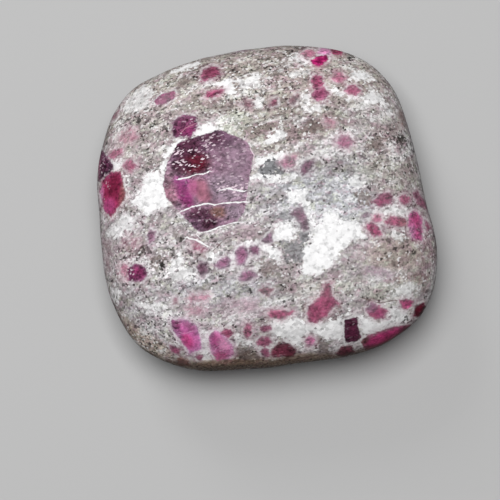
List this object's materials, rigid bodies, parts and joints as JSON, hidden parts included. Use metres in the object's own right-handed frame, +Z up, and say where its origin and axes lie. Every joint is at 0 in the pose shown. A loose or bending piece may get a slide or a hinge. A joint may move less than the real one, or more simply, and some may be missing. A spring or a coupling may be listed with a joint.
{
  "type": "ruby in zoisite tumbled stone",
  "caption": "Polished tumbled stone, a domed rounded square of pale speckled rock with ruby crystals ground flush, flat underneath to rest on a surface.",
  "frame": {"origin": "middle of the bounding box in plan, at the resting face", "axes": "+Z up out of the domed face, +X along the longest side of the bounding box, +Y away from the viewer of the picture"},
  "size_m": [0.0354, 0.0342, 0.011],
  "materials": {
    "ruby_rock": "polished"
  },
  "bodies": {
    "root": {"stone": "ruby_rock"}
  },
  "joints": []
}
